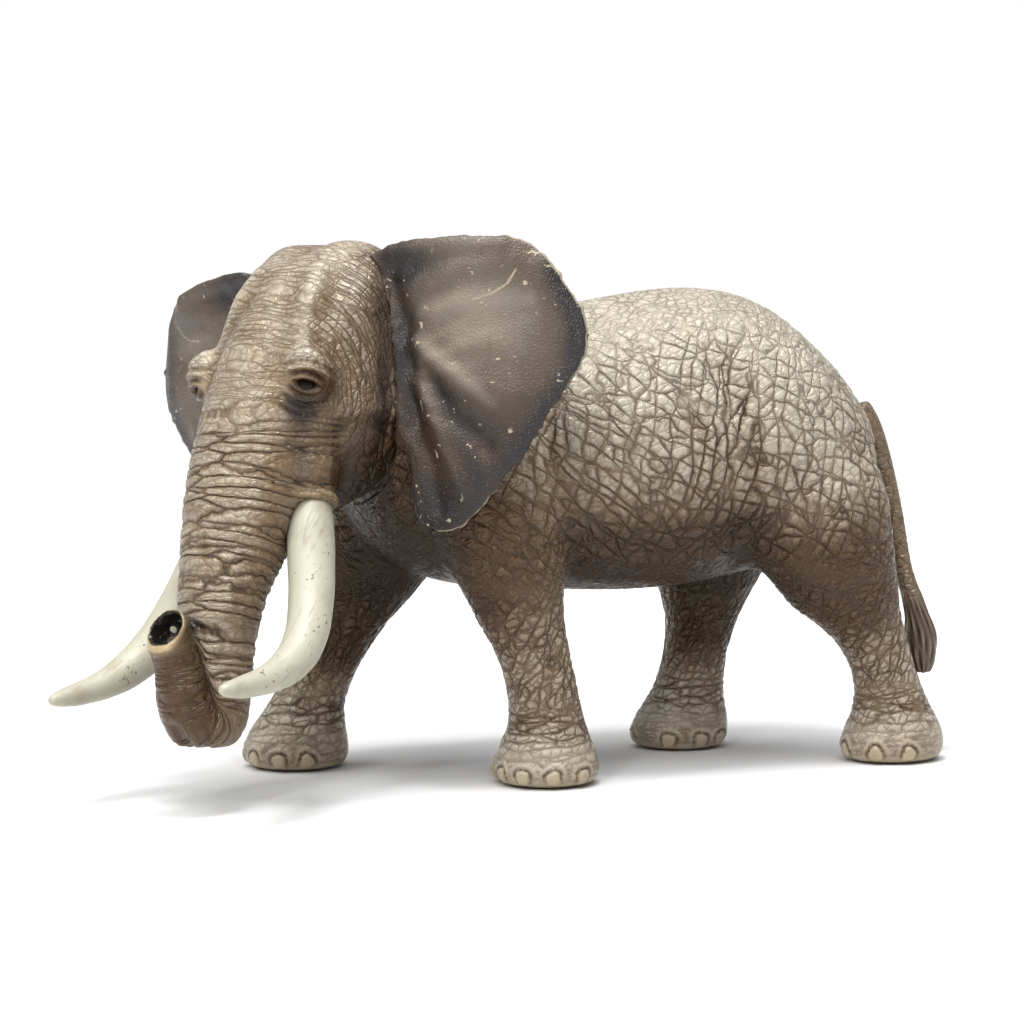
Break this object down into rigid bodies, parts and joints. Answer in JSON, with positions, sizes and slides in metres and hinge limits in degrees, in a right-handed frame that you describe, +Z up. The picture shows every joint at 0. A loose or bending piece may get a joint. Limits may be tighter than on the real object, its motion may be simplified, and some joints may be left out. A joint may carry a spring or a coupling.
{
  "type": "elephant figurine",
  "caption": "Moulded and painted African elephant bull, walking with its head turned and trunk tip raised; a small shelf figure that stands on its own feet.",
  "frame": {"origin": "On the floor, under the centre of the bounding box; the four soles stand on z = 0.", "axes": "+Z up. The elephant walks towards -Y, so +Y runs back along its body, and +X is to its own left."},
  "size_m": [0.1024, 0.1868, 0.1061],
  "materials": {
    "skin": "painted vinyl, dry-brushed, satin",
    "ear_skin": "painted vinyl, airbrushed darker at the edges, satin",
    "ivory_paint": "painted vinyl, ivory with fine scratches, satin",
    "tail_skin": "painted vinyl, darker at the tuft, satin"
  },
  "bodies": {
    "root": {"body_left_half": "skin", "body_right_half": "skin", "head": "skin", "left_ear": "ear_skin", "right_ear": "ear_skin", "left_tusk": "ivory_paint", "right_tusk": "ivory_paint", "tail": "tail_skin"}
  },
  "joints": []
}
